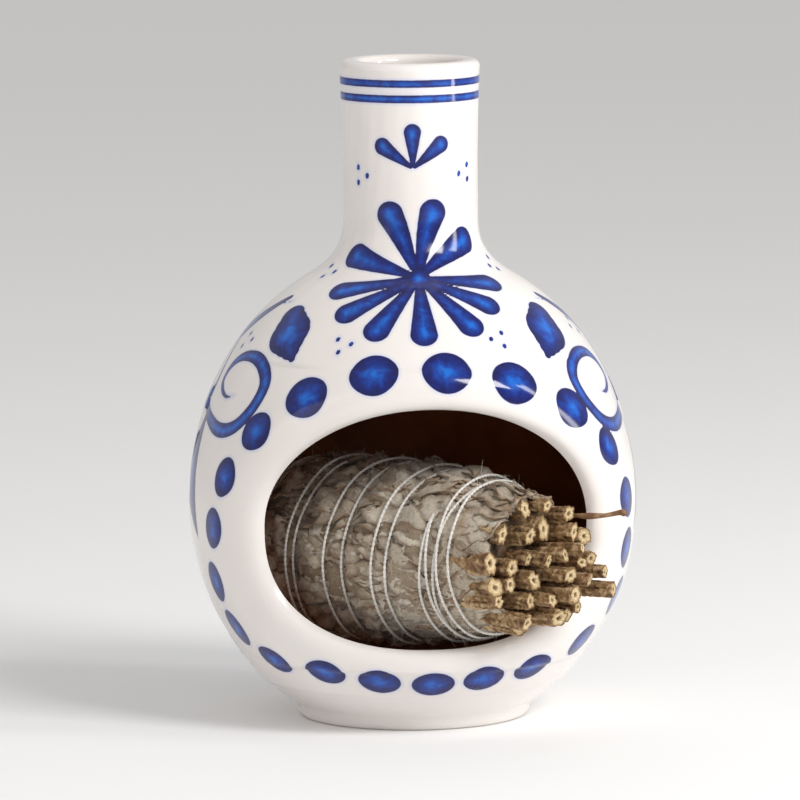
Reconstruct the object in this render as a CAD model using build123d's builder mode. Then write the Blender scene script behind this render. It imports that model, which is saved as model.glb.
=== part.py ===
"""A small chimney-shaped talavera pot with a string-tied sage bundle lying in its mouth.

Frame: +Z up, origin at the centre of the foot's resting face, the mouth faces -Y.
All lengths are millimetres and all angles are degrees.
"""

import os
from math import cos, pi, radians, sin, tan

from build123d import *

# ---------------------------------------------------------------- pot
POT_HEIGHT = 150.0
WALL = 4.6
BELLY_RADIUS = 50.8
BELLY_HALF_HEIGHT = 57.0
BELLY_CENTRE_Z = 50.5
NECK_BASE_RADIUS = 15.2
NECK_TOP_RADIUS = 16.1
RIM_ROUND = 1.9
FOOT_RADIUS = 25.9
FOOT_TOP_RADIUS = 27.2
FOOT_HEIGHT = 3.2
FOOT_ROUND = 1.2
BELLY_FROM = -51.5
BELLY_TO = 65.5
ROOM_FROM = -60.0
NECK_FROM_Z = 116.0
FLUE_RADIUS = 11.2

# ---------------------------------------------------------------- mouth, an oval seen along Y
MOUTH_HALF_WIDTH = 36.6
MOUTH_HALF_HEIGHT = 27.6
MOUTH_CENTRE_Z = 48.0
MOUTH_FULLNESS = 2.3  # 2 is a plain ellipse, more is squarer
MOUTH_POINTS = 24
LIP_WIDTH = 8.0  # how far the soft bevel runs back over the outside
LIP_DEPTH = 3.4  # how deep it goes into the wall

# ---------------------------------------------------------------- sage bundle, along its own axis
BUNDLE_END = (20.0, -38.0, 40.2)  # middle of the leaf mass's face at the stems
BUNDLE_YAW = 47.2  # the axis turns this far from +X towards -Y
BUNDLE_PITCH = -1.5  # and points this far down
# (distance back from the stem end, radius) along the leaf mass
LEAF_PROFILE = [(0, 14.6), (10, 17.4), (28, 19.4), (48, 19.8), (62, 18.8), (73, 14.6), (79, 8.0)]
STEM_DEPTH = 24.0  # how far each stem runs back into the leaves
STEM_APEX = 240.0  # the stems fan out from a point this far behind the end face
STEM_GAP = 0.04
# (across, up, radius, reach past the end face) of each stem, seen from the stem end
STEMS = [
    (2.9, 7.4, 2.5, 5.0),
    (7.8, 5.6, 2.0, 9.0),
    (12.0, 4.8, 1.8, 9.0),
    (11.8, -0.8, 1.4, 11.0),
    (-14.2, 1.4, 2.4, 3.5),
    (-4.6, -3.9, 1.9, 8.0),
    (5.2, -4.3, 1.4, 16.0),
    (1.2, -7.0, 1.9, 15.0),
    (-6.2, -8.3, 1.7, 8.0),
    (-2.6, -8.0, 1.4, 12.0),
    (8.6, -6.0, 1.6, 19.0),
    (1.6, -3.0, 1.6, 14.0),
    (-4.9, -13.8, 1.7, 3.5),
    (-1.0, -12.0, 1.8, 12.0),
    (-8.8, -11.4, 1.7, 10.0),
    (-8.8, -4.6, 1.7, 5.0),
    (-13.0, -3.8, 2.0, 4.0),
    (-1.0, 0.4, 1.5, 9.5),
    (2.9, 1.0, 1.5, 11.0),
    (5.6, 2.5, 1.1, 14.0),
    (-4.2, 1.6, 1.4, 6.5),
    (-8.4, -0.1, 1.9, 5.5),
    (-9.4, 7.4, 2.0, 4.0),
    (-3.4, 6.2, 1.9, 6.0),
    (-1.8, 11.6, 1.9, 4.0),
    (9.2, -2.2, 1.3, 16.5),
    (5.8, -0.9, 1.1, 13.0),
    (3.2, -11.2, 1.5, 10.0),
    (6.4, -9.6, 1.3, 11.0),
    (8.4, 10.0, 1.6, 8.0),
    (3.6, 12.3, 1.4, 6.0),
    (-12.6, -7.8, 1.5, 4.5),
]
TWIG_RADIUS = 0.7
# (across, up, distance past the end face) of the thin loose twig that sticks out sideways
TWIG_ROUTE = [(11.9, 8.7, 0.3), (12.7, 9.0, 4.6), (15.0, 8.8, 9.6), (19.2, 9.6, 14.6)]

# ---------------------------------------------------------------- cotton string
STRING_RADIUS = 0.45
STRING_TURNS = 5
STRING_POINTS = 10  # corners in one turn
STRING_START = 9.0  # first wrap, back from the stem end
STRING_PITCH = 12.0
STRING_LIFT = 0.7  # middle of the outward wraps above the leaves
STRING_RETURN_LIFT = 2.0  # and of the wraps that come back over them
STRING_BEND = 0.45  # share of a run that each corner's arc takes at either end


def leaf_radius(back):
    """Radius of the leaf mass at a distance back from its stem end."""
    for (b0, r0), (b1, r1) in zip(LEAF_PROFILE, LEAF_PROFILE[1:]):
        if back <= b1:
            return r0 + (r1 - r0) * (back - b0) / (b1 - b0)
    return LEAF_PROFILE[-1][1]


def oval(half_width, half_height, fullness, count):
    """Points of a superellipse, one turn."""
    points = []
    for i in range(count):
        turn = 2 * pi * i / count
        c, s = cos(turn), sin(turn)
        across = half_width * abs(c) ** (2 / fullness) * (1 if c >= 0 else -1)
        up = half_height * abs(s) ** (2 / fullness) * (1 if s >= 0 else -1)
        points.append((across, up))
    return points


def string_route(start_angle, direction, lift):
    """Corners of one pass of string wound along the leaf mass."""
    points = []
    for i in range(STRING_TURNS * STRING_POINTS + 1):
        turns = i / STRING_POINTS
        back = STRING_START + turns * STRING_PITCH
        angle = radians(start_angle) + direction * 2 * pi * turns
        reach = (leaf_radius(back) + lift) / cos(pi / STRING_POINTS)
        points.append(bundle_frame.from_local_coords((reach * cos(angle), reach * sin(angle), -back)))
    return points


def corner_radii(points):
    """The largest arc for each corner that its two runs allow."""
    radii = []
    for a, b, c in zip(points, points[1:], points[2:]):
        turn = (b - a).get_angle(c - b)
        run = min((b - a).length, (c - b).length)
        radii.append(STRING_BEND * run / tan(radians(turn) / 2))
    return radii


# The bundle's own frame: local +Z runs out of the stem end, local +X across and local +Y up.
yaw, pitch = radians(BUNDLE_YAW), radians(BUNDLE_PITCH)
bundle_dir = Vector(cos(yaw) * cos(pitch), -sin(yaw) * cos(pitch), -sin(pitch))
across_dir = Vector(sin(yaw), cos(yaw), 0)
bundle_frame = Plane(origin=BUNDLE_END, x_dir=across_dir, z_dir=bundle_dir)
# A half-section of the bundle: sketch X runs across and sketch Y runs along the axis.
bundle_half_plane = Plane(origin=BUNDLE_END, x_dir=across_dir, z_dir=across_dir.cross(bundle_dir))

# ---------------------------------------------------------------- pot body
# One half-section, turned about Z: foot, belly, shoulder, neck and rim, then back down inside.
with BuildPart() as pot_body:
    with BuildSketch(Plane.XZ) as half_section:
        with BuildLine():
            belly = EllipticalCenterArc(
                (0, BELLY_CENTRE_Z),
                BELLY_RADIUS,
                BELLY_HALF_HEIGHT,
                start_angle=BELLY_FROM,
                arc_size=BELLY_TO - BELLY_FROM,
            )
            Polyline((0, 0), (FOOT_RADIUS, 0), (FOOT_TOP_RADIUS, FOOT_HEIGHT), belly @ 0)
            shoulder = Spline(
                belly @ 1, (NECK_BASE_RADIUS, NECK_FROM_Z), tangents=[belly % 1, (0, 1)]
            )
            room = EllipticalCenterArc(
                (0, BELLY_CENTRE_Z),
                BELLY_RADIUS - WALL,
                BELLY_HALF_HEIGHT - WALL,
                start_angle=ROOM_FROM,
                arc_size=BELLY_TO - ROOM_FROM,
            )
            Polyline(
                shoulder @ 1,
                (NECK_TOP_RADIUS, POT_HEIGHT),
                (FLUE_RADIUS, POT_HEIGHT),
                (FLUE_RADIUS, NECK_FROM_Z),
            )
            Spline(room @ 1, (FLUE_RADIUS, NECK_FROM_Z), tangents=[room % 1, (0, 1)])
            Polyline(room @ 0, (0, (room @ 0).Y), (0, 0))
        make_face()
        rim = half_section.vertices().group_by(Axis.Y)[-1]
        fillet(rim, RIM_ROUND)
        foot_edge = half_section.vertices().group_by(Axis.Y)[0].sort_by(Axis.X)[-1]
        fillet(foot_edge, FOOT_ROUND)
    revolve(axis=Axis.Z)
    with BuildSketch(Plane.XZ) as mouth_outline:
        with BuildLine():
            corners = oval(MOUTH_HALF_WIDTH, MOUTH_HALF_HEIGHT, MOUTH_FULLNESS, MOUTH_POINTS)
            Spline([(x, z + MOUTH_CENTRE_Z) for x, z in corners], periodic=True)
        make_face()
    extrude(amount=2 * BELLY_RADIUS, mode=Mode.SUBTRACT)
    lip = pot_body.edges().filter_by(GeomType.BSPLINE).sort_by(Axis.Y)[0]
    chamfer(lip, LIP_WIDTH, LIP_DEPTH)
pot_body.part.label = "pot_body"
export_step(pot_body.part, "parts/pot_body.step")

# ---------------------------------------------------------------- sage bundle
# Each stem runs from inside the leaves out past their end face, away from a common point.
apex = Vector(0, 0, -STEM_APEX)
stem_planes = []
for across, up, radius, reach in STEMS:
    face_point = Vector(across, up, 0)
    stem_dir = (face_point - apex).normalized()
    start = face_point - stem_dir * STEM_DEPTH
    foot, next_point = (bundle_frame.from_local_coords(p) for p in (start, start + stem_dir))
    stem_planes.append(Plane(origin=foot, z_dir=next_point - foot))

with BuildPart() as leaf_bundle:
    with BuildSketch(bundle_half_plane) as leaf_half:
        Polygon(
            (0, 0),
            *[(radius, -back) for back, radius in LEAF_PROFILE],
            (0, -LEAF_PROFILE[-1][0]),
            align=None,
        )
    revolve(axis=Axis(BUNDLE_END, bundle_dir))
    for plane, (across, up, radius, reach) in zip(stem_planes, STEMS):
        with Locations(plane):
            Cylinder(
                radius + STEM_GAP,
                2 * STEM_DEPTH,
                align=(Align.CENTER, Align.CENTER, Align.MIN),
                mode=Mode.SUBTRACT,
            )
leaf_bundle.part.label = "leaf_bundle"
export_step(leaf_bundle.part, "parts/leaf_bundle.step")

for number, (plane, (across, up, radius, reach)) in enumerate(zip(stem_planes, STEMS), start=1):
    with BuildPart(plane) as stem:
        Cylinder(radius, STEM_DEPTH + reach, align=(Align.CENTER, Align.CENTER, Align.MIN))
    stem.part.label = f"stem_{number:02d}"
    export_step(stem.part, f"parts/stem_{number:02d}.step")

with BuildPart() as loose_twig:
    with BuildLine() as twig_line:
        twig_points = [bundle_frame.from_local_coords(point) for point in TWIG_ROUTE]
        FilletPolyline(*twig_points, radius=corner_radii(twig_points))
    with BuildSketch(Plane(twig_line.wires()[0] @ 0, z_dir=twig_line.wires()[0] % 0)):
        Circle(TWIG_RADIUS)
    sweep()
loose_twig.part.label = "loose_twig"
export_step(loose_twig.part, "parts/loose_twig.step")

# ---------------------------------------------------------------- cotton string
passes = {"string_out": (20, 1, STRING_LIFT), "string_back": (200, -1, STRING_RETURN_LIFT)}
for name, (start_angle, direction, lift) in passes.items():
    with BuildPart() as string_pass:
        with BuildLine() as string_line:
            corners = string_route(start_angle, direction, lift)
            FilletPolyline(*corners, radius=corner_radii(corners))
        path = string_line.wires()[0]
        with BuildSketch(Plane(path @ 0, z_dir=path % 0)):
            Circle(STRING_RADIUS)
        sweep()
    string_pass.part.label = name
    export_step(string_pass.part, f"parts/{name}.step")
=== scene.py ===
"""Looks of the small talavera burner and the sage bundle in its mouth.

Lengths in this script are millimetres in the CAD frame, and are turned into metres as each mesh is made.
"""

import math

import bpy
import numpy as np
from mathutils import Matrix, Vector, kdtree


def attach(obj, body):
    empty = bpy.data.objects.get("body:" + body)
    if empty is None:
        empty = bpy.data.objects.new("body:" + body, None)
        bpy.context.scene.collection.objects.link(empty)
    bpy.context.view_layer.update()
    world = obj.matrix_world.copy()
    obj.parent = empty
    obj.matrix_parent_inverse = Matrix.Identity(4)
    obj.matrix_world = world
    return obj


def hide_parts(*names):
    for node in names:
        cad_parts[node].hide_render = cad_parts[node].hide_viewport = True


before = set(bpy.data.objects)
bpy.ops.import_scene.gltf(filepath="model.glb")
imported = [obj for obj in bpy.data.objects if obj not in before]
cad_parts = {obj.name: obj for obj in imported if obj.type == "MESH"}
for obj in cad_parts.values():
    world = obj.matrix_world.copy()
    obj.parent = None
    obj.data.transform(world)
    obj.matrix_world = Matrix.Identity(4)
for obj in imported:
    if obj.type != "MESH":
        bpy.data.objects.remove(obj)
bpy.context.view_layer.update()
MM = 0.001

# ---------------------------------------------------------------- driving sizes
# Sizes of the visible skin. They are set here, not read from the frame.
POT_HEIGHT = 150.0
BELLY_RADIUS = 50.8
BELLY_HALF_HEIGHT = 57.0
BELLY_CENTRE_Z = 50.5
WALL = 4.6
NECK_RADIUS = 15.3
NECK_FLARE = 0.8
NECK_FROM_Z = 115.0
NECK_FLARE_FROM_Z = 122.0
SHOULDER_Z = 101.0
FLUE_RADIUS = 11.2
FLOOR_Z = 6.0
FOOT_TOP_Z = 3.4
FOOT_RADIUS = 26.2
FOOT_TOP_RADIUS = 27.3
FOOT_FLARE_SLOPE = 1.25
FOOT_FLARE_TOP_Z = 9.0
RIM_Z = 147.8

MOUTH_HALF_WIDTH = 36.4
MOUTH_HALF_HEIGHT = 27.3
MOUTH_Z = 47.6
RING_HALF_WIDTH = 46.2
RING_HALF_HEIGHT = 35.0
RING_Z = 47.4
MOUTH_ROWS_FROM_Z = 15
MOUTH_ROWS_TO_Z = 84
UPPER_FULLNESS = 2.05
LOWER_FULLNESS = 2.45

SIGHT_AZIMUTH = -6.0
SIGHT_SLOPE = 0.13
SIGHT_COSINE = 0.991
PAINT_AXIS = -2.2

BUNDLE_END = np.array([20.0, -38.0, 40.2])
BUNDLE_YAW = math.radians(47.2)
BUNDLE_PITCH = math.radians(-1.5)
LEAF_BACK = [0, 10, 28, 48, 62, 73, 79]
LEAF_RADIUS = [14.4, 17.6, 19.8, 20.2, 18.9, 14.6, 8.0]


# ---------------------------------------------------------------- small helpers
def make_mesh(name, points, faces, materials, attributes=None, smooth=True, face_slots=None):
    """A mesh object from millimetre points, with float attributes on its points."""
    mesh = bpy.data.meshes.new(name)
    mesh.from_pydata((np.asarray(points) * MM).tolist(), [], faces)
    for material in materials:
        mesh.materials.append(material)
    for key, values in (attributes or {}).items():
        layer = mesh.attributes.new(key, "FLOAT", "POINT")
        layer.data.foreach_set("value", np.asarray(values, dtype=np.float32))
    if face_slots is not None:
        mesh.polygons.foreach_set("material_index", np.asarray(face_slots, dtype=np.int32))
    mesh.polygons.foreach_set("use_smooth", [smooth] * len(mesh.polygons))
    piece = bpy.data.objects.new(name, mesh)
    bpy.context.scene.collection.objects.link(piece)
    return piece


def wave_noise(points, scale, seed, octaves=3):
    """Smooth seeded noise in about -1 to 1, from a few sine waves in random directions."""
    source = np.random.default_rng(seed)
    total = np.zeros(len(points))
    strength = 1.0
    weight = 0.0
    for _ in range(octaves):
        for _ in range(5):
            direction = source.normal(size=3)
            direction /= np.linalg.norm(direction)
            phase = source.uniform(0, 2 * math.pi)
            total += strength * np.sin(points @ direction * (2 * math.pi / scale) + phase)
        weight += strength * 2.2
        strength *= 0.5
        scale *= 0.47
    return total / weight


class Nodes:
    """Shorthand for building one material's node tree."""

    def __init__(self, name):
        self.material = bpy.data.materials.new(name)
        self.material.use_nodes = True
        self.tree = self.material.node_tree
        self.shader = self.tree.nodes["Principled BSDF"]

    def add(self, kind, **settings):
        node = self.tree.nodes.new("ShaderNode" + kind)
        for key, value in settings.items():
            setattr(node, key, value)
        return node

    def link(self, output, target):
        self.tree.links.new(output, target)

    def attribute(self, name):
        return self.add("Attribute", attribute_name=name).outputs["Fac"]

    def noise(self, scale, detail=4.0, distortion=0.0):
        coords = self.add("TexCoord").outputs["Object"]
        node = self.add("TexNoise")
        node.inputs["Scale"].default_value = scale
        node.inputs["Detail"].default_value = detail
        node.inputs["Distortion"].default_value = distortion
        self.link(coords, node.inputs["Vector"])
        return node.outputs["Fac"]

    def ramp(self, value, stops):
        node = self.add("ValToRGB")
        elements = node.color_ramp.elements
        while len(elements) < len(stops):
            elements.new(0.5)
        for element, (place, colour) in zip(elements, stops):
            element.position = place
            element.color = (*colour, 1.0)
        self.link(value, node.inputs["Fac"])
        return node.outputs["Color"]

    def mix(self, factor, a, b, blend="MIX"):
        node = self.add("Mix", data_type="RGBA", blend_type=blend)
        sockets = {"Factor": node.inputs[0], "A": node.inputs[6], "B": node.inputs[7]}
        for key, value in (("Factor", factor), ("A", a), ("B", b)):
            if isinstance(value, (int, float)):
                sockets[key].default_value = value
            elif isinstance(value, tuple):
                sockets[key].default_value = (*value, 1.0)
            else:
                self.link(value, sockets[key])
        return node.outputs[2]

    def map(self, value, low, high, to_low=0.0, to_high=1.0):
        node = self.add("MapRange", clamp=True)
        self.link(value, node.inputs["Value"])
        node.inputs["From Min"].default_value = low
        node.inputs["From Max"].default_value = high
        node.inputs["To Min"].default_value = to_low
        node.inputs["To Max"].default_value = to_high
        return node.outputs["Result"]

    def math(self, kind, a, b):
        node = self.add("Math", operation=kind)
        for socket, value in zip(node.inputs, (a, b)):
            if isinstance(value, (int, float)):
                socket.default_value = value
            else:
                self.link(value, socket)
        return node.outputs[0]

    def bump(self, height, strength, distance):
        node = self.add("Bump")
        node.inputs["Strength"].default_value = strength
        node.inputs["Distance"].default_value = distance * MM
        self.link(height, node.inputs["Height"])
        self.link(node.outputs["Normal"], self.shader.inputs["Normal"])


# ---------------------------------------------------------------- pot shape
def outer_radius(z):
    """Radius of the outside at each height."""
    z = np.asarray(z, dtype=float)
    belly = BELLY_RADIUS * np.sqrt(np.clip(1 - ((z - BELLY_CENTRE_Z) / BELLY_HALF_HEIGHT) ** 2, 0, 1))
    flare = np.clip((z - NECK_FLARE_FROM_Z) / (POT_HEIGHT - NECK_FLARE_FROM_Z), 0, 1)
    neck = NECK_RADIUS + NECK_FLARE * flare**1.5
    start = BELLY_RADIUS * math.sqrt(1 - ((SHOULDER_Z - BELLY_CENTRE_Z) / BELLY_HALF_HEIGHT) ** 2)
    slope = -((BELLY_RADIUS / BELLY_HALF_HEIGHT) ** 2) * (SHOULDER_Z - BELLY_CENTRE_Z) / start
    span = NECK_FROM_Z - SHOULDER_Z
    t = np.clip((z - SHOULDER_Z) / span, 0, 1)
    bend = (
        (2 * t**3 - 3 * t**2 + 1) * start
        + (t**3 - 2 * t**2 + t) * span * slope
        + (-2 * t**3 + 3 * t**2) * NECK_RADIUS
    )
    radius = np.where(z < SHOULDER_Z, belly, np.where(z < NECK_FROM_Z, bend, neck))
    # Just above the foot the wall stands off the ellipse and meets the foot's flare.
    foot = FOOT_TOP_RADIUS + (z - FOOT_TOP_Z) * FOOT_FLARE_SLOPE
    return np.where(z < FOOT_FLARE_TOP_Z, np.minimum(np.maximum(radius, 0), foot + 0.4), radius)


def inner_radius(z):
    """Radius of the room inside at each height."""
    z = np.asarray(z, dtype=float)
    room = (BELLY_RADIUS - WALL) * np.sqrt(
        np.clip(1 - ((z - BELLY_CENTRE_Z) / (BELLY_HALF_HEIGHT - WALL)) ** 2, 0, 1)
    )
    return np.maximum(room, np.where(z > BELLY_CENTRE_Z, FLUE_RADIUS, 0.0))


def oval_norm(x, z, half_width, half_height, centre_z):
    """1 on the oval, less inside; fuller below its centre than above."""
    up = z - centre_z
    fullness = np.where(up > 0, UPPER_FULLNESS, LOWER_FULLNESS)
    return (np.abs(x / half_width) ** fullness + np.abs(up / half_height) ** fullness) ** (1 / fullness)


def row_heights(spacing):
    """Heights of the rows of the outside, evenly spaced along its slope."""
    fine = np.linspace(FOOT_TOP_Z, RIM_Z, 4000)
    steps = np.hypot(np.diff(fine), np.diff(outer_radius(fine)))
    length = np.concatenate([[0], np.cumsum(steps)])
    count = int(length[-1] / spacing)
    return np.interp(np.linspace(0, length[-1], count + 1), length, fine)


def pot_rows(spacing):
    """(radius, height, zone) rows: middle of the base, up the outside, over the rim, down inside."""
    rows = [(r, 0.0, 0) for r in (0.0, 8.0, 16.0, 22.0, FOOT_RADIUS - 1.0)]
    rows += [(FOOT_RADIUS - 0.4, 0.15, 0), (FOOT_RADIUS, 0.6, 0), (FOOT_RADIUS + 0.4, 1.6, 0)]
    rows += [(FOOT_TOP_RADIUS - 0.3, 2.7, 0)]
    heights = row_heights(spacing)
    rows += [(float(outer_radius(z)), float(z), 1) for z in heights]
    top_outer = float(outer_radius(RIM_Z))
    middle = (top_outer + FLUE_RADIUS) / 2
    half = (top_outer - FLUE_RADIUS) / 2
    for turn in np.linspace(0, math.pi, 16)[1:-1]:
        bulge = abs(math.cos(turn)) ** 0.75 * math.copysign(1, math.cos(turn))
        rows.append((middle + half * bulge, RIM_Z + (POT_HEIGHT - RIM_Z) * math.sin(turn) ** 0.8, 2))
    rows += [(float(inner_radius(z)), float(z), 3) for z in heights[::-1] if z > FLOOR_Z]
    rows += [(r, FLOOR_Z, 3) for r in (22.0, 14.0, 6.0, 0.0)]
    return rows


def build_pot(paint_materials, spacing):
    """The whole pot as one skin, cut open at the mouth."""
    rows = pot_rows(spacing)
    radius = np.array([r[0] for r in rows])
    height = np.array([r[1] for r in rows])
    zone = np.array([r[2] for r in rows])
    columns = int(2 * math.pi * BELLY_RADIUS / spacing)
    theta = np.linspace(-math.pi, math.pi, columns, endpoint=False)
    row_grid, theta_grid = np.meshgrid(np.arange(len(rows)), theta, indexing="ij")
    z = height[row_grid]
    zone_grid = zone[row_grid]
    angle = theta_grid.copy()
    r_out = outer_radius(z)
    r_in = inner_radius(z)
    at_mouth = (z > MOUTH_ROWS_FROM_Z) & (z < MOUTH_ROWS_TO_Z)
    wall_rows = ((zone_grid == 1) | (zone_grid == 3)) & at_mouth
    front = np.abs(angle) < math.pi / 2
    mouth = oval_norm(r_in * np.sin(angle), z, MOUTH_HALF_WIDTH, MOUTH_HALF_HEIGHT, MOUTH_Z)
    inside = wall_rows & front & (mouth < 1)
    # Points just inside the oval slide out onto its edge.
    across = r_in * np.sin(angle)
    snapped_z = np.where(inside, MOUTH_Z + (z - MOUTH_Z) / np.maximum(mouth, 0.2), z)
    snapped_x = np.where(inside, across / np.maximum(mouth, 0.2), across)
    ratio = np.clip(snapped_x / np.maximum(inner_radius(snapped_z), 1), -1, 1)
    angle = np.where(inside, np.arcsin(ratio), angle)
    z = snapped_z
    r_out = outer_radius(z)
    r_in = inner_radius(z)
    base = np.where(inside | wall_rows, np.where(zone_grid == 3, r_in, r_out), radius[row_grid])
    # The lip curls in from the ring of dots to the sharp inner edge.
    mouth = np.maximum(oval_norm(r_in * np.sin(angle), z, MOUTH_HALF_WIDTH, MOUTH_HALF_HEIGHT, MOUTH_Z), 1)
    ring = oval_norm(r_out * np.sin(angle), z, RING_HALF_WIDTH, RING_HALF_HEIGHT, RING_Z)
    way = np.where(front, (mouth - 1) / np.maximum(mouth / np.maximum(ring, 0.3) - 1, 0.02), 9)
    way = np.where((ring > 1) | ~front, 1 + np.where(front, (ring - 1) * 4.0, 9), np.clip(way, 0, 1))
    curl = 1 - np.sqrt(np.clip(1 - (1 - np.clip(way, 0, 1)) ** 2.4, 0, 1))
    collar = 0.75 * np.exp(-(((way - 1.0) / 0.42) ** 2)) - 0.45 * np.exp(-(((way - 1.85) / 0.3) ** 2))
    collar *= np.clip((1 - curl) * 1.2, 0, 1)
    outside = (zone_grid == 1) & wall_rows
    shaped = np.where(outside, base - (r_out - r_in) * curl + collar, base)
    slip = wave_noise(
        np.stack([np.sin(angle) * 50, np.cos(angle) * 50, z], axis=-1).reshape(-1, 3), 42.0, 3
    ).reshape(z.shape)
    shaped = shaped + np.where((zone_grid == 1) & (z > 12), 0.12 * slip * (1 - curl), 0)
    points = np.stack([shaped * np.sin(angle), -shaped * np.cos(angle), z], axis=-1).reshape(-1, 3)

    index = np.arange(points.shape[0]).reshape(z.shape)
    outer_of_height = {round(float(h), 6): i for i, h in enumerate(height) if zone[i] == 1}
    for i in range(len(rows)):
        twin = outer_of_height.get(round(float(height[i]), 6)) if zone[i] == 3 else None
        if twin is not None:
            index[i] = np.where(inside[i], index[twin], index[i])
    faces = []
    slots = []
    for i in range(len(rows) - 1):
        material = 1 if zone[i] == 3 and zone[i + 1] == 3 else 0
        if i < 5:
            material = 2
        here = inside[i]
        above = inside[i + 1]
        for j in range(columns):
            k = (j + 1) % columns
            if here[j] and here[k] and above[j] and above[k]:
                continue
            corners = [index[i, j], index[i, k], index[i + 1, k], index[i + 1, j]]
            if radius[i] == 0.0:
                corners = [index[i, 0], index[i + 1, k], index[i + 1, j]]
            elif radius[i + 1] == 0.0:
                corners = [index[i, j], index[i, k], index[i + 1, 0]]
            faces.append([int(c) for c in corners])
            slots.append(material)
    distance, tone = paint_pot(points, (zone_grid.reshape(-1) == 1) | (zone_grid.reshape(-1) == 2))
    used = np.zeros(len(points), dtype=bool)
    used[np.unique(np.concatenate([np.array(f) for f in faces]))] = True
    renumber = np.cumsum(used) - 1
    faces = [[int(renumber[c]) for c in f] for f in faces]
    pot = make_mesh(
        "glazed_pot",
        points[used],
        faces,
        paint_materials,
        {"paint": distance[used], "tone": tone[used]},
        face_slots=slots,
    )
    pot.data.validate()
    pot.data.set_sharp_from_angle(angle=math.radians(50))
    return pot


# ---------------------------------------------------------------- pot painting
def on_pot(across, up, azimuth=SIGHT_AZIMUTH):
    """The point of the outside that lies at (across, up) when the pot is seen level from an azimuth."""
    turn = math.radians(azimuth)
    right = np.array([math.cos(turn), math.sin(turn), 0.0])
    toward = np.array([math.sin(turn), -math.cos(turn), 0.0])
    depth = 30.0
    for _ in range(30):
        z = (up + SIGHT_SLOPE * depth) / SIGHT_COSINE
        radius = float(outer_radius(z))
        depth = 0.5 * depth + 0.5 * math.sqrt(max(radius**2 - across**2, 0.0))
    point = right * across + toward * depth
    point[2] = z
    flat = math.hypot(point[0], point[1])
    point[:2] *= radius / flat
    return point


def at(azimuth, z):
    """The point of the outside at an azimuth from the front and a height."""
    turn = math.radians(azimuth)
    radius = float(outer_radius(z))
    return np.array([radius * math.sin(turn), -radius * math.cos(turn), z])


def onto_pot(point):
    """The point moved level, towards or away from the axis, onto the outside."""
    scale = float(outer_radius(point[2])) / math.hypot(point[0], point[1])
    return np.array([point[0] * scale, point[1] * scale, point[2]])


def mirrored(point):
    """The point's mirror image across the painting's own middle line."""
    turn = 2 * math.radians(PAINT_AXIS)
    azimuth = math.atan2(point[0], -point[1])
    radius = math.hypot(point[0], point[1])
    other = turn - azimuth
    return np.array([radius * math.sin(other), -radius * math.cos(other), point[2]])


def turned(point, degrees):
    """The point turned about the pot's axis."""
    turn = math.radians(degrees)
    c, s = math.cos(turn), math.sin(turn)
    return np.array([c * point[0] - s * point[1], s * point[0] + c * point[1], point[2]])


class Paint:
    """Collects brush marks as the distance to the nearest painted edge, in mm, negative inside."""

    def __init__(self, points, mask):
        self.points = points
        self.mask = mask
        self.distance = np.full(len(points), 9.0)
        self.tone = np.zeros(len(points))

    def lay(self, chosen, distance, depth):
        nearer = distance < self.distance[chosen]
        rows = chosen[nearer]
        self.distance[rows] = distance[nearer]
        self.tone[rows] = np.clip(-distance[nearer] / depth, 0, 1)

    def near(self, centre, reach):
        away = self.points - centre
        return np.nonzero(self.mask & (np.einsum("ij,ij->i", away, away) < reach**2))[0]

    def drop(self, a, b, radius_a, radius_b):
        """A round-ended stroke from a to b whose radius changes on the way."""
        length = np.linalg.norm(b - a)
        chosen = self.near((a + b) / 2, length / 2 + max(radius_a, radius_b) + 4)
        shares = np.linspace(0, 1, max(int(length / 2.5), 1) + 1)
        line = np.array([onto_pot(a + (b - a) * share) for share in shares])
        distance = np.full(len(chosen), 99.0)
        for p, q, share_p, share_q in zip(line, line[1:], shares, shares[1:]):
            away = self.points[chosen] - p
            t = np.clip(away @ (q - p) / ((q - p) @ (q - p)), 0, 1)
            gap = np.linalg.norm(away - t[:, None] * (q - p), axis=1)
            share = share_p + (share_q - share_p) * t
            distance = np.minimum(distance, gap - (radius_a + (radius_b - radius_a) * share))
        self.lay(chosen, distance, max(radius_a, radius_b))

    def oval(self, centre, direction, half_length, half_width, point=0.0):
        """An oval on the surface, a little pointed at its ends."""
        chosen = self.near(centre, max(half_length, half_width) + 4)
        normal = np.array([centre[0], centre[1], 0.0])
        normal /= np.linalg.norm(normal)
        tilt = (outer_radius(centre[2] + 0.5) - outer_radius(centre[2] - 0.5)) * 1.0
        normal[2] = -float(tilt)
        normal /= np.linalg.norm(normal)
        u = direction - normal * (direction @ normal)
        u /= np.linalg.norm(u)
        v = np.cross(normal, u)
        away = self.points[chosen] - centre
        along = away @ u / half_length
        side = away @ v / (half_width * (1 - point * np.clip(along, -1, 1) ** 2))
        norm = np.sqrt(along**2 + side**2)
        self.lay(chosen, (norm - 1) * min(half_length, half_width), min(half_length, half_width))

    def stroke(self, corners, widths):
        """A smooth brush stroke through a few points, with a half-width at each."""
        corners = np.array(corners)
        places = np.arange(len(corners))
        fine = np.linspace(0, len(corners) - 1, len(corners) * 5)
        smooth = np.stack([catmull(corners[:, k], fine) for k in range(3)], axis=1)
        width = np.interp(fine, places, widths)
        for a, b, wa, wb in zip(smooth, smooth[1:], width, width[1:]):
            self.drop(a, b, wa, wb)


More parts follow.
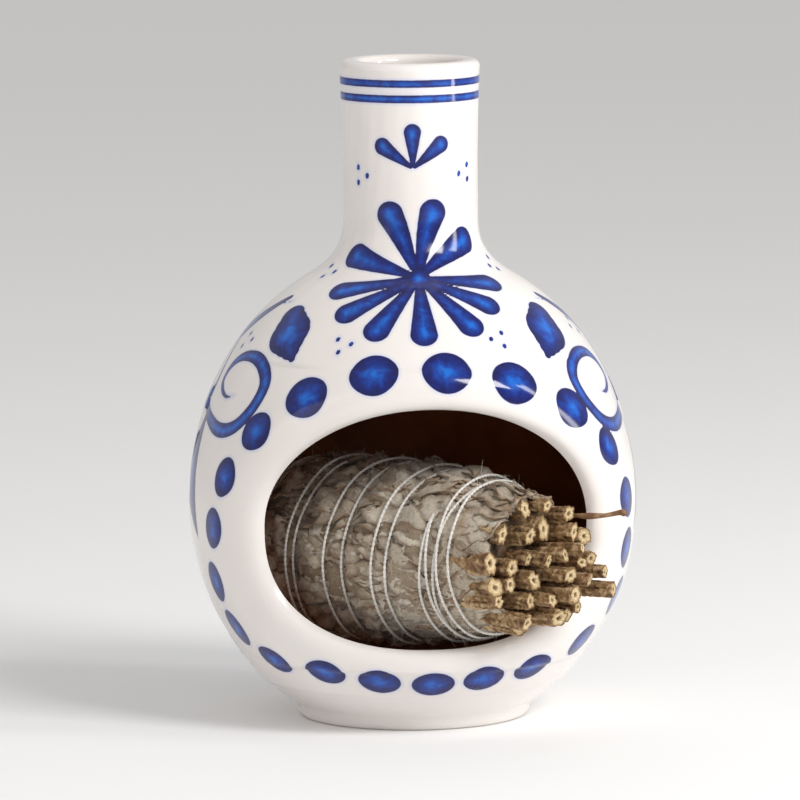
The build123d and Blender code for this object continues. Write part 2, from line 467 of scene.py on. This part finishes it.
def catmull(values, fine):
    """Catmull-Rom interpolation of evenly spaced values."""
    padded = np.concatenate([[2 * values[0] - values[1]], values, [2 * values[-1] - values[-2]]])
    cell = np.clip(fine.astype(int), 0, len(values) - 2)
    t = fine - cell
    p0, p1, p2, p3 = (padded[cell + k] for k in range(4))
    return 0.5 * (
        2 * p1 + (p2 - p0) * t + (2 * p0 - 5 * p1 + 4 * p2 - p3) * t**2 + (3 * p1 - p0 - 3 * p2 + p3) * t**3
    )


# Places of the painted marks, (across, up) in mm as on_pot takes them; SWIRL adds a half-width.
FLOWER_CENTRE = (1.7, 98.6)
PETAL_TIPS = [
    (-6.1, 115.6), (6.0, 116.2), (13.2, 109.0), (19.8, 97.4), (19.5, 91.4), (15.0, 85.9),
    (3.0, 83.6), (-9.2, 84.9), (-16.6, 89.6), (-18.1, 95.6), (-13.9, 104.9),
]
TREFOIL_BASE = (0.6, 123.3)
TREFOIL_TIPS = [(-7.7, 129.6), (0.5, 133.3), (8.2, 130.1)]
SMALL_DOTS = [
    (-11.7, 123.9), (-9.7, 121.9), (-11.7, 120.5), (12.7, 124.4), (10.9, 122.3), (12.8, 121.2),
    (-18.0, 101.8), (-17.3, 100.4), (-20.0, 99.4), (17.4, 103.6), (17.8, 101.6), (19.7, 100.9),
    (-16.4, 84.9), (-13.5, 83.8), (-16.4, 82.0), (20.1, 86.1), (17.8, 84.7), (20.8, 83.1),
    (-36.3, 86.6), (-36.0, 85.2), (-38.3, 83.8), (35.4, 89.7), (36.1, 87.9), (37.9, 86.8),
]
MOUTH_DOTS = [
    (-8.4, 76.7), (7.8, 77.2), (22.8, 74.9), (35.6, 69.2), (43.8, 60.5), (47.9, 49.1), (47.9, 37.7),
    (45.4, 26.8), (37.7, 17.0), (26.7, 11.1), (15.8, 8.6), (4.4, 7.4), (-7.7, 8.1), (-19.8, 10.4),
    (-31.2, 13.1), (-39.6, 20.2), (-44.0, 30.7), (-44.4, 42.8), (-41.7, 54.2), (-34.6, 64.4), (-23.4, 71.9),
]
SWIRL = [
    (-26.6, 93.8, 0.12), (-30.0, 93.0, 0.25), (-34.5, 90.3, 0.35), (-39.0, 86.0, 0.45), (-42.7, 81.6, 0.55),
    (-45.5, 75.9, 0.9), (-46.7, 70.6, 1.3), (-45.5, 66.5, 1.6), (-42.9, 64.7, 1.75), (-39.4, 65.7, 1.8),
    (-35.7, 69.7, 1.8), (-33.3, 74.6, 1.85), (-33.3, 78.5, 1.85), (-34.9, 81.0, 1.6), (-37.8, 81.4, 1.3),
    (-40.6, 79.5, 1.0), (-42.7, 76.3, 0.85), (-43.0, 73.8, 0.75), (-42.1, 72.4, 0.6), (-40.2, 72.7, 0.25),
]
NECK_BANDS = ((144.7, 146.4), (141.2, 143.0))
# The back flower and its ring, in degrees round the pot and mm of height.
BACK_Z = 46
BACK_PETALS = 12
BACK_PETAL_TURN = 24
BACK_PETAL_RISE = 20
BACK_OVALS = 20
BACK_RING_TURN = 49
BACK_RING_RISE = 32


def paint_flower(paint, centre, tips, inner, outer, place=lambda p: p):
    """Teardrop petals that start a little way out from the centre and widen to round ends."""
    middle = place(centre)
    for tip in tips:
        end = place(tip)
        ray = end - middle
        ray /= np.linalg.norm(ray)
        paint.drop(middle + ray * 2.6, end - ray * outer, inner, outer)


def paint_shoulder(paint, place):
    """One flower with its drops, swirls and dots, laid by a placing function."""
    paint_flower(paint, on_pot(*FLOWER_CENTRE), [on_pot(*t) for t in PETAL_TIPS], 1.0, 3.15, place)
    heading = np.array([1.0, 0.0, 0.0]) + place(np.array([0, -1.0, 0]))
    paint.oval(place(on_pot(*FLOWER_CENTRE)), heading, 2.7, 2.7)
    for side in (lambda p: p, mirrored):
        low, heart, top = (place(side(on_pot(*p))) for p in ((-26.8, 80.6), (-27.5, 86.4), (-26.8, 90.4)))
        paint.drop(low, heart, 0.9, 5.7)
        paint.drop(heart, top, 5.7, 3.3)
        corners = [place(side(on_pot(a, u))) for a, u, _ in SWIRL]
        paint.stroke(corners, [w for _, _, w in SWIRL])
    for spot in SMALL_DOTS:
        paint.oval(place(on_pot(*spot)), place(np.array([0.3, 0.1, 1.0])), 0.68, 0.55)


def paint_sides(paint):
    """Large pointed leaves, with a drop above and below and a column of dots, on both sides."""
    for side in (lambda p: p, mirrored):
        paint.drop(side(at(-86, 72)), side(at(-88, 56)), 0.7, 5.6)
        paint.drop(side(at(-88, 56)), side(at(-79, 43)), 5.6, 0.5)
        paint.drop(side(at(-74, 97)), side(at(-92, 89)), 0.8, 2.6)
        paint.drop(side(at(-93, 34)), side(at(-92, 22)), 3.4, 0.6)
        for step in range(3):
            paint.oval(side(at(-101, 46 - 4 * step)), np.array([0.0, 0.0, 1.0]), 0.7, 0.6)


def paint_back(paint):
    """A large flower inside a ring of ovals, where the front has its mouth."""
    middle = 180 + PAINT_AXIS
    heart = at(middle, BACK_Z)
    for k in range(BACK_PETALS):
        turn = 2 * math.pi * k / BACK_PETALS
        tip = at(middle + BACK_PETAL_TURN * math.sin(turn), BACK_Z + BACK_PETAL_RISE * math.cos(turn))
        ray = tip - heart
        ray /= np.linalg.norm(ray)
        paint.drop(heart + ray * 3.0, tip - ray * 3.2, 0.9, 3.2)
    paint.oval(heart, np.array([1.0, 0, 0]), 2.9, 2.9)
    for k in range(BACK_OVALS):
        turn = 2 * math.pi * (k + 0.5) / BACK_OVALS
        spot, after = (
            at(middle + BACK_RING_TURN * math.sin(t), BACK_Z + BACK_RING_RISE * math.cos(t))
            for t in (turn, turn + 0.05)
        )
        paint.oval(spot, after - spot, 4.7, 3.5, 0.15)


def paint_pot(points, mask):
    """The painted pattern as a distance to its edges and a depth of tone, for every point."""
    paint = Paint(points, mask)
    paint_shoulder(paint, lambda p: p)
    paint_shoulder(paint, lambda p: turned(p, 180))
    paint_sides(paint)
    paint_back(paint)
    for place in (lambda p: p, lambda p: turned(p, 180)):
        base = place(on_pot(*TREFOIL_BASE))
        for tip in TREFOIL_TIPS:
            end = place(on_pot(*tip))
            ray = (end - base) / np.linalg.norm(end - base)
            paint.drop(base + ray * 0.6, end - ray * 2.0, 0.45, 2.0)
    for i, spot in enumerate(MOUTH_DOTS):
        before = on_pot(*MOUTH_DOTS[i - 1])
        after = on_pot(*MOUTH_DOTS[(i + 1) % len(MOUTH_DOTS)])
        size = 4.9 + 0.75 * np.clip((spot[1] - 66) / 9, 0, 1)
        width = 3.7 + 1.35 * np.clip((spot[1] - 60) / 14, 0, 1)
        paint.oval(on_pot(*spot), after - before, size, width, 0.06)
    for low, high in NECK_BANDS:
        z = points[:, 2]
        band = np.abs(z - (low + high) / 2) - (high - low) / 2
        chosen = np.nonzero(mask & (np.abs(band) < 3))[0]
        paint.lay(chosen, band[chosen], (high - low) / 2)
    return paint.distance, paint.tone


def pot_materials():
    """Painted white glaze outside, brown glaze inside, bare clay under the foot."""
    glaze = Nodes("cobalt_on_white_glaze")
    distance = glaze.math("ADD", glaze.attribute("paint"), glaze.map(glaze.noise(900, 3), 0, 1, -0.06, 0.06))
    ink = glaze.map(distance, 0.07, -0.07)
    halo = glaze.math("MULTIPLY", glaze.map(distance, 0.75, 0.15), 0.5)
    mottled = glaze.math(
        "ADD", glaze.attribute("tone"), glaze.map(glaze.noise(420, 6, 0.6), 0.3, 0.7, -0.22, 0.22)
    )
    blue = glaze.ramp(
        mottled,
        [
            (0.0, (0.0, 0.002, 0.075)),
            (0.3, (0.0, 0.009, 0.145)),
            (0.6, (0.0, 0.038, 0.30)),
            (1.0, (0.0, 0.135, 0.60)),
        ],
    )
    white = glaze.ramp(glaze.noise(34, 3), [(0.3, (0.80, 0.75, 0.72)), (0.7, (0.85, 0.81, 0.78))])
    pale = glaze.mix(halo, white, (0.52, 0.58, 0.84))
    glaze.link(glaze.mix(ink, pale, blue), glaze.shader.inputs["Base Color"])
    glaze.link(glaze.map(glaze.noise(60, 3), 0.3, 0.7, 0.10, 0.18), glaze.shader.inputs["Roughness"])
    glaze.shader.inputs["Coat Weight"].default_value = 0.15
    glaze.shader.inputs["Coat Roughness"].default_value = 0.06
    glaze.bump(glaze.math("ADD", glaze.noise(120, 3), glaze.math("MULTIPLY", ink, 0.5)), 0.12, 0.12)

    room = Nodes("brown_inside_glaze")
    height = room.add("SeparateXYZ")
    room.link(room.add("TexCoord").outputs["Object"], height.inputs[0])
    brown = room.ramp(room.noise(70, 5), [(0.3, (0.22, 0.062, 0.012)), (0.7, (0.36, 0.125, 0.030))])
    up_neck = room.map(height.outputs["Z"], 0.128, 0.146)
    room.link(room.mix(up_neck, brown, (0.72, 0.62, 0.52)), room.shader.inputs["Base Color"])
    room.shader.inputs["Roughness"].default_value = 0.42
    room.bump(room.noise(260, 4), 0.3, 0.2)

    clay = Nodes("bare_clay")
    clay.link(
        clay.ramp(clay.noise(300, 8), [(0.3, (0.60, 0.53, 0.46)), (0.7, (0.72, 0.66, 0.59))]),
        clay.shader.inputs["Base Color"],
    )
    clay.shader.inputs["Roughness"].default_value = 0.85
    clay.bump(clay.noise(900, 5), 0.4, 0.2)
    return [glaze.material, room.material, clay.material]


# ---------------------------------------------------------------- bundle frame
axis_dir = np.array([
    math.cos(BUNDLE_YAW) * math.cos(BUNDLE_PITCH),
    -math.sin(BUNDLE_YAW) * math.cos(BUNDLE_PITCH),
    -math.sin(BUNDLE_PITCH),
])
across_dir = np.array([math.sin(BUNDLE_YAW), math.cos(BUNDLE_YAW), 0.0])
up_dir = np.cross(axis_dir, across_dir)


def on_bundle(back, angle, lift):
    """Points at a distance back from the stem end, an angle round the axis and a lift off the leaves."""
    back, angle, lift = np.broadcast_arrays(np.asarray(back, float), angle, lift)
    radius = np.interp(back, LEAF_BACK, LEAF_RADIUS) + lift
    return (
        BUNDLE_END
        - back[..., None] * axis_dir
        + (radius * np.cos(angle))[..., None] * across_dir
        + (radius * np.sin(angle))[..., None] * up_dir
    )


# ---------------------------------------------------------------- string
def string_line():
    """The string's line: out along the bundle, back over itself, then tight turns at the stems."""
    source = np.random.default_rng(11)
    passes = [  # (from back, to back, turns, direction)
        (5.0, 66.0, 4.6, 1),
        (66.0, 12.0, 4.3, -1),
        (12.0, 4.5, 2.6, 1),
    ]
    backs, angles = [], []
    angle = 0.6
    for start, stop, turns, direction in passes:
        steps = int(turns * 150)
        t = np.linspace(0, 1, steps, endpoint=False)
        wander = sum(source.uniform(-1, 1) * np.sin(math.pi * k * t) / k for k in range(1, 9))
        backs.append(start + (stop - start) * t + 1.6 * wander * np.sin(math.pi * t))
        angles.append(angle + direction * 2 * math.pi * turns * t)
        angle += direction * 2 * math.pi * turns
    back = np.concatenate(backs)
    angle = np.concatenate(angles)
    level = 0.25 + 0.25 * np.sin(angle * 3.1) ** 2 + np.where(np.arange(len(back)) > len(backs[0]), 0.55, 0)
    return on_bundle(back, angle, level)


def tube(path, radius, sides):
    """Rings of a tube along a path, as points and faces."""
    ahead = np.gradient(path, axis=0)
    ahead /= np.linalg.norm(ahead, axis=1)[:, None]
    guide = path - (BUNDLE_END - ((BUNDLE_END - path) @ axis_dir)[:, None] * axis_dir)
    side = np.cross(ahead, guide)
    side /= np.linalg.norm(side, axis=1)[:, None] + 1e-9
    other = np.cross(ahead, side)
    turn = np.linspace(0, 2 * math.pi, sides, endpoint=False)
    ring = np.cos(turn)[None, :, None] * side[:, None] + np.sin(turn)[None, :, None] * other[:, None]
    width = radius if np.ndim(radius) == 0 else np.asarray(radius)[:, None, None]
    points = (path[:, None] + width * ring).reshape(-1, 3)
    faces = []
    for i in range(len(path) - 1):
        for j in range(sides):
            k = (j + 1) % sides
            faces.append([i * sides + j, i * sides + k, (i + 1) * sides + k, (i + 1) * sides + j])
    faces.append(list(range(sides))[::-1])
    last = (len(path) - 1) * sides
    faces.append([last + j for j in range(sides)])
    return points, faces


def join(parts):
    """Several (points, faces) as one."""
    points, faces, start = [], [], 0
    for part_points, part_faces in parts:
        points.append(part_points)
        faces += [[c + start for c in f] for f in part_faces]
        start += len(part_points)
    return np.concatenate(points), faces


def build_string(path, material):
    """Two plies twisted round the line, with loose fibres."""
    steps = np.linalg.norm(np.diff(path, axis=0), axis=1)
    run = np.concatenate([[0], np.cumsum(steps)])
    fine = np.arange(0, run[-1], 0.42)
    line = np.stack([np.interp(fine, run, path[:, k]) for k in range(3)], axis=1)
    ahead = np.gradient(line, axis=0)
    ahead /= np.linalg.norm(ahead, axis=1)[:, None]
    outward = line - (BUNDLE_END - ((BUNDLE_END - line) @ axis_dir)[:, None] * axis_dir)
    side = np.cross(ahead, outward)
    side /= np.linalg.norm(side, axis=1)[:, None]
    other = np.cross(ahead, side)
    parts = []
    for ply in range(2):
        turn = fine * (2 * math.pi / 2.2) + ply * math.pi
        offset = 0.155 * (np.cos(turn)[:, None] * side + np.sin(turn)[:, None] * other)
        parts.append(tube(line + offset, 0.20, 6))
    source = np.random.default_rng(5)
    for _ in range(420):
        i = source.integers(2, len(line) - 2)
        t = np.linspace(0, 1, 6)[:, None]
        lean = ahead[i] * source.uniform(-1, 1) + side[i] * source.uniform(-1, 1)
        lean += outward[i] / np.linalg.norm(outward[i]) * source.uniform(0.2, 1.0)
        bend = source.normal(size=3) * 0.9
        hair = line[i] + lean * t * source.uniform(0.8, 2.6) + bend * t**2
        parts.append(tube(hair, 0.028, 3))
    points, faces = join(parts)
    return make_mesh("cotton_string", points, faces, [material])


# ---------------------------------------------------------------- leaves
def leaf_sheet(source, back, angle, length, width, heading, lift, press):
    """One dry leaf laid round the bundle, crumpled and curled at its edges."""
    rows, cols = 15, 7
    s = np.linspace(0, 1, rows)[:, None] * np.ones((1, cols))
    t = np.ones((rows, 1)) * np.linspace(-1, 1, cols)[None, :]
    shape = np.sin(math.pi * np.clip(s * 0.96 + 0.02, 0, 1)) ** 0.62 * (1 - 0.25 * (s - 0.4) ** 2)
    x = (s - 0.5) * length
    y = t * width * 0.5 * shape * (1 + 0.14 * source.normal(size=s.shape) * np.abs(t))
    bow = source.uniform(-0.16, 0.16) * length * (s - 0.5) ** 2 * 2
    y = y + bow
    b = back + x * math.cos(heading) - y * math.sin(heading)
    b = np.clip(b, -3.0, 78.5)
    local_radius = np.interp(b, LEAF_BACK, LEAF_RADIUS)
    a = angle + (x * math.sin(heading) + y * math.cos(heading)) / local_radius
    curl = source.uniform(-0.6, 2.4) * np.abs(t) ** 2.2 * np.sin(math.pi * s)
    fold = source.uniform(0.2, 0.65) * np.exp(-((t - source.uniform(-0.4, 0.4)) / 0.25) ** 2)
    lifted = lift + curl + fold + 0.15 * source.normal(size=s.shape)
    flat = on_bundle(b, a, 0.0).reshape(-1, 3)
    wrinkle = wave_noise(flat, source.uniform(4.5, 8.0), int(source.integers(1 << 30)), 3)
    lifted = lifted.reshape(-1) + 1.0 * wrinkle
    gap = np.array([press.find(p)[2] for p in flat])
    lifted -= (0.9 + lifted.clip(0, 2)) * np.exp(-((gap / 1.5) ** 2))
    # Near the stems the underside lies just over the pot's lip.
    low_side = (b.reshape(-1) < 22) & (np.sin(a.reshape(-1)) < 0.2)
    points = on_bundle(b.reshape(-1), a.reshape(-1), np.clip(lifted, -2.4, np.where(low_side, 0.2, 2.3)))
    faces = [
        [i * cols + j, i * cols + j + 1, (i + 1) * cols + j + 1, (i + 1) * cols + j]
        for i in range(rows - 1)
        for j in range(cols - 1)
    ]
    edge = np.maximum(np.abs(t), np.abs(2 * s - 1) ** 3).reshape(-1)
    return points, faces, edge, wrinkle


def build_leaves(press, material):
    """Rings of overlapping leaves from the far end to the stems."""
    source = np.random.default_rng(21)
    points, faces, edge, tint, crease = [], [], [], [], []
    start = 0
    count = 300
    for i in range(count):
        back = 74 - 73 * (i / count) + source.uniform(-4, 4)
        angle = i * 2.399963 + source.uniform(-0.3, 0.3)
        length = source.uniform(15, 30)
        width = source.uniform(5.5, 10.5)
        heading = source.normal() * 0.34
        lift = source.uniform(-1.0, 0.35)
        p, f, e, w = leaf_sheet(source, back, angle, length, width, heading, lift, press)
        points.append(p)
        faces += [[c + start for c in q] for q in f]
        edge.append(e)
        tint.append(np.full(len(p), source.uniform()))
        crease.append(w)
        start += len(p)
    piece = make_mesh(
        "sage_leaves",
        np.concatenate(points),
        faces,
        [material],
        {"edge": np.concatenate(edge), "tint": np.concatenate(tint), "crease": np.concatenate(crease)},
    )
    solid = piece.modifiers.new("thickness", "SOLIDIFY")
    solid.thickness = 0.28 * MM
    solid.offset = 0
    return piece


def build_core(material):
    """The packed leaves seen between the outer ones, coloured near black as painted shade."""
    rows, cols = 90, 150
    back = np.linspace(-0.3, 79, rows)[:, None] * np.ones((1, cols))
    angle = np.ones((rows, 1)) * np.linspace(0, 2 * math.pi, cols, endpoint=False)[None, :]
    flat = on_bundle(back, angle, 0.0).reshape(-1, 3)
    lift = -1.7 + 0.7 * wave_noise(flat, 7.0, 2, 3)
    points = on_bundle(back.reshape(-1), angle.reshape(-1), lift)
    faces = []
    for i in range(rows - 1):
        for j in range(cols):
            k = (j + 1) % cols
            faces.append([i * cols + j, i * cols + k, (i + 1) * cols + k, (i + 1) * cols + j])
    faces.append(list(range(cols))[::-1])
    faces.append([(rows - 1) * cols + j for j in range(cols)])
    return make_mesh("packed_core", points, faces, [material])


# ---------------------------------------------------------------- stems
def stem_axis(node):
    """Start, direction, length and radius of a CAD stem, read from its mesh."""
    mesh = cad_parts[node].data
    points = np.empty(len(mesh.vertices) * 3)
    mesh.vertices.foreach_get("co", points)
    points = points.reshape(-1, 3) / MM
    middle = (points.max(axis=0) + points.min(axis=0)) / 2
    _, _, turn = np.linalg.svd(points - points.mean(axis=0), full_matrices=False)
    direction = turn[0] if turn[0] @ axis_dir > 0 else -turn[0]
    along = (points - middle) @ direction
    off = points - middle - along[:, None] * direction
    centre = middle + off.mean(axis=0)
    away = points - centre
    radius = np.linalg.norm(away - (away @ direction)[:, None] * direction, axis=1).max()
    return centre + direction * along.min(), direction, along.max() - along.min(), radius


def build_stem(node, number, material):
    """A dry twig with ridged bark and a rough cut end showing ring and pith."""
    source = np.random.default_rng(100 + number)
    start, direction, length, radius = stem_axis(node)
    side = np.cross(direction, [0.0, 0.0, 1.0])
    side /= np.linalg.norm(side)
    other = np.cross(direction, side)
    sides = 26
    rings = int(length / 0.7)
    turn = np.linspace(0, 2 * math.pi, sides, endpoint=False)
    slant = source.uniform(-0.4, 0.4, size=2)
    phase = source.uniform(0, 6.28, size=4)
    swell = source.uniform(0.2, 0.8)
    points, cut, bark = [], [], []
    for i in range(rings + 1):
        s = i / rings
        ridge = 0.07 * np.sin(5 * turn + phase[0] + 2 * s) + 0.05 * np.sin(9 * turn + phase[1] - 3 * s)
        ridge += 0.04 * source.normal(size=sides) + 0.14 * math.exp(-(((s - swell) / 0.05) ** 2))
        reach = radius * (1.06 + ridge * 1.35)
        drift = side * (0.55 * math.sin(3 * s + phase[2])) + other * (0.55 * math.sin(4 * s + phase[3]))
        tilt = (slant[0] * np.cos(turn) + slant[1] * np.sin(turn)) * radius * s**6
        ring = start + direction * (s * length) + drift * s
        ring = ring + reach[:, None] * (np.cos(turn)[:, None] * side + np.sin(turn)[:, None] * other)
        points.append(ring + tilt[:, None] * direction)
        cut.append(np.full(sides, -1.0))
        # The ridge height is kept so that the grooves can be darkened as painted shade.
        bark.append(ridge * 6)
    rim = points[-1]
    centre = rim.mean(axis=0)
    hollow = source.uniform() < 0.45
    for share, depth in ((0.97, 0.02), (0.82, -0.06), (0.6, 0.05), (0.4, -0.02), (0.24, -0.15), (0.12, -0.6)):
        sink = depth * (2.4 if hollow and share < 0.3 else 0.8)
        rough = 0.07 * source.normal(size=(sides, 1)) * direction
        points.append(centre + (rim - centre) * share + sink * direction + rough)
        cut.append(np.full(sides, share))
        bark.append(np.zeros(sides))
    points = np.concatenate(points)
    total = rings + 7
    faces = []
    for i in range(total - 1):
        for j in range(sides):
            k = (j + 1) % sides
            faces.append([i * sides + j, i * sides + k, (i + 1) * sides + k, (i + 1) * sides + j])
    faces.append([(total - 1) * sides + j for j in range(sides)])
    faces.append(list(range(sides))[::-1])
    attributes = {
        "cut": np.concatenate(cut),
        "bark": np.concatenate(bark),
        "tint": np.full(len(points), source.uniform()),
    }
    piece = make_mesh(f"cut_{node}", points, faces, [material], attributes)
    piece.data.set_sharp_from_angle(angle=math.radians(50))
    return piece


def build_twig(material):
    """The loose reddish twig, on the CAD twig's own line."""
    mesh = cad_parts["loose_twig"].data
    points = np.array([v.co[:] for v in mesh.vertices]) / MM
    reach = (points - points.mean(axis=0)) @ axis_dir
    marks = np.linspace(reach.min(), reach.max(), 26)
    line = np.array([points[np.argsort(np.abs(reach - m))[:24]].mean(axis=0) for m in marks])
    for _ in range(3):
        line[1:-1] = (line[:-2] + 2 * line[1:-1] + line[2:]) / 4
    source = np.random.default_rng(9)
    width = 0.62 + 0.16 * np.sin(np.linspace(0, 14, len(line))) * source.uniform(0.5, 1, len(line))
    points, faces = tube(line, width, 12)
    attributes = {
        "cut": np.full(len(points), -1.0),
        "bark": np.tile([0.3, -0.3], len(points) // 2),
        "tint": np.ones(len(points)) * 1.4,
    }
    return make_mesh("reddish_twig", points, faces, [material], attributes)


def bundle_materials():
    """Dry leaf, packed leaf coloured near black as painted shade, stem and cotton."""
    leaf = Nodes("dry_sage_leaf")
    base = leaf.ramp(
        leaf.attribute("tint"),
        [
            (0.0, (0.27, 0.20, 0.13)),
            (0.3, (0.45, 0.38, 0.29)),
            (0.7, (0.58, 0.52, 0.43)),
            (1.0, (0.68, 0.63, 0.54)),
        ],
    )
    speckle = leaf.ramp(leaf.noise(1500, 5), [(0.3, (0.62, 0.57, 0.5)), (0.7, (1.0, 1.0, 1.0))])
    mottled = leaf.mix(0.75, base, speckle, "MULTIPLY")
    stain = leaf.map(leaf.noise(110, 4, 0.8), 0.56, 0.72)
    stained = leaf.mix(leaf.math("MULTIPLY", stain, 0.65), mottled, (0.24, 0.12, 0.045))
    rim = leaf.map(
        leaf.math("ADD", leaf.attribute("edge"), leaf.map(leaf.noise(500, 3), 0, 1, -0.2, 0.1)),
        0.72,
        0.98,
    )
    edged = leaf.mix(leaf.math("MULTIPLY", rim, 0.85), stained, (0.17, 0.09, 0.04))
    # Painted shade: the leaf colour darkens where the wrinkles sink in.
    painted_crease_shade = leaf.map(leaf.attribute("crease"), -0.1, -0.75)
    leaf.link(
        leaf.mix(leaf.math("MULTIPLY", painted_crease_shade, 0.8), edged, (0.11, 0.07, 0.04)),
        leaf.shader.inputs["Base Color"],
    )
    leaf.shader.inputs["Roughness"].default_value = 0.92
    leaf.shader.inputs["Sheen Weight"].default_value = 0.25
    leaf.bump(leaf.noise(1300, 8, 0.5), 0.7, 0.35)

    # The packed leaves are real leaves; their near-black colour is painted shade between the outer leaves.
    core = Nodes("packed_leaf_painted_shade")
    core.link(
        core.ramp(core.noise(320, 8, 0.7), [(0.35, (0.025, 0.014, 0.007)), (0.7, (0.16, 0.105, 0.06))]),
        core.shader.inputs["Base Color"],
    )
    core.shader.inputs["Roughness"].default_value = 0.95
    core.bump(core.noise(700, 8), 0.9, 0.8)

    stem = Nodes("dry_sage_stem")
    # Bark colour on the stems: lighter on raised ridges and darker in the grooves, the groove darkening being
    # painted shade; the noise is the bark's own tone.
    bark = stem.ramp(
        stem.math("ADD", stem.noise(480, 8, 1.2), stem.math("MULTIPLY", stem.attribute("bark"), 0.12)),
        [(0.3, (0.05, 0.022, 0.009)), (0.5, (0.27, 0.155, 0.065)), (0.7, (0.60, 0.44, 0.25))],
    )
    aged = stem.mix(stem.map(stem.attribute("tint"), 0.6, 1.4, 0.0, 0.6), bark, (0.22, 0.10, 0.05))
    face = stem.ramp(
        stem.attribute("cut"),
        [
            (0.0, (0.06, 0.03, 0.01)),
            (0.2, (0.34, 0.22, 0.10)),
            (0.4, (0.72, 0.60, 0.38)),
            (0.8, (0.52, 0.36, 0.17)),
            (0.93, (0.10, 0.05, 0.02)),
        ],
    )
    fibres = stem.ramp(stem.noise(1600, 6), [(0.3, (0.45, 0.36, 0.26)), (0.6, (1, 1, 1))])
    grain = stem.mix(0.6, face, fibres, "MULTIPLY")
    on_face = stem.map(stem.attribute("cut"), -0.2, 0.0)
    stem.link(stem.mix(on_face, aged, grain), stem.shader.inputs["Base Color"])
    stem.shader.inputs["Roughness"].default_value = 0.8
    stem.bump(stem.noise(900, 8, 1.0), 0.8, 0.4)

    cotton = Nodes("white_cotton")
    cotton.link(
        cotton.ramp(cotton.noise(1200, 4), [(0.3, (0.62, 0.59, 0.54)), (0.7, (0.84, 0.82, 0.78))]),
        cotton.shader.inputs["Base Color"],
    )
    cotton.shader.inputs["Roughness"].default_value = 0.9
    cotton.shader.inputs["Sheen Weight"].default_value = 0.4
    cotton.bump(cotton.noise(3000, 4), 0.5, 0.1)
    return leaf.material, core.material, stem.material, cotton.material


# ---------------------------------------------------------------- camera, floor and light
def aim(thing, target):
    thing.rotation_euler = (Vector(target) - thing.location).to_track_quat("-Z", "Y").to_euler()


CAMERA_LENS = 340.4
CAMERA_DISTANCE = 1.711
CAMERA_HEIGHT = 0.290
CAMERA_ROLL = -0.4
TARGET_OFFSET = -0.0027
TARGET_HEIGHT = 0.072


def add_camera():
    """The photograph's view, with distances in metres and the roll in degrees."""
    turn = math.radians(SIGHT_AZIMUTH)
    data = bpy.data.cameras.new("camera")
    data.sensor_width = 36
    data.lens = CAMERA_LENS
    data.clip_end = 20
    camera = bpy.data.objects.new("camera", data)
    bpy.context.scene.collection.objects.link(camera)
    camera.location = (CAMERA_DISTANCE * math.sin(turn), -CAMERA_DISTANCE * math.cos(turn), CAMERA_HEIGHT)
    aim(camera, (TARGET_OFFSET * math.cos(turn), TARGET_OFFSET * math.sin(turn), TARGET_HEIGHT))
    camera.rotation_euler.rotate_axis("Z", math.radians(CAMERA_ROLL))
    bpy.context.scene.camera = camera


def add_light(name, place, size, power, colour=(1, 1, 1)):
    data = bpy.data.lights.new(name, "AREA")
    data.shape = "RECTANGLE"
    data.size, data.size_y = size
    data.energy = power
    data.color = colour
    light = bpy.data.objects.new(name, data)
    bpy.context.scene.collection.objects.link(light)
    light.location = place
    aim(light, (0, 0, 0.06))


def add_stage():
    reach = 6.0
    mesh = bpy.data.meshes.new("floor")
    corners = [(-reach, -reach, 0), (reach, -reach, 0), (reach, reach, 0), (-reach, reach, 0)]
    mesh.from_pydata(corners, [], [(0, 1, 2, 3)])
    floor = bpy.data.objects.new("floor", mesh)
    bpy.context.scene.collection.objects.link(floor)
    paper = Nodes("pale_floor")
    paper.shader.inputs["Base Color"].default_value = (0.93, 0.93, 0.93, 1)
    paper.shader.inputs["Roughness"].default_value = 0.9
    mesh.materials.append(paper.material)
    world = bpy.data.worlds.new("studio")
    world.use_nodes = True
    world.node_tree.nodes["Background"].inputs["Color"].default_value = (1.0, 0.99, 0.98, 1)
    world.node_tree.nodes["Background"].inputs["Strength"].default_value = 0.56
    bpy.context.scene.world = world
    add_light("key", (0.60, -0.70, 0.80), (0.45, 0.35), 7.6, (1.0, 0.985, 0.96))
    add_light("fill", (-0.9, -0.6, 0.35), (0.6, 0.6), 0.9, (1.0, 0.95, 0.94))
    add_light("strip", (0.75, -0.25, 0.30), (0.12, 0.7), 2.4)
    bpy.context.scene.view_settings.view_transform = "Standard"


# ---------------------------------------------------------------- assembly
add_camera()
add_stage()
SPACING = 0.62
pot = build_pot(pot_materials(), SPACING)
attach(pot, "pot")
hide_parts("pot_body")

leaf_finish, core_finish, stem_finish, cotton_finish = bundle_materials()
line = string_line()
press = kdtree.KDTree(len(line))
for number, point in enumerate(line):
    press.insert(Vector(point), number)
press.balance()
leaves = build_leaves(press, leaf_finish)
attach(leaves, "sage_bundle")
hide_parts("leaf_bundle")
core = build_core(core_finish)
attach(core, "sage_bundle")
string = build_string(line, cotton_finish)
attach(string, "sage_bundle")
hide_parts("string_out", "string_back")
for number, node in enumerate(sorted(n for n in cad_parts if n.startswith("stem_"))):
    stem = build_stem(node, number, stem_finish)
    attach(stem, "sage_bundle")
    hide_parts(node)
twig = build_twig(stem_finish)
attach(twig, "sage_bundle")
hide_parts("loose_twig")
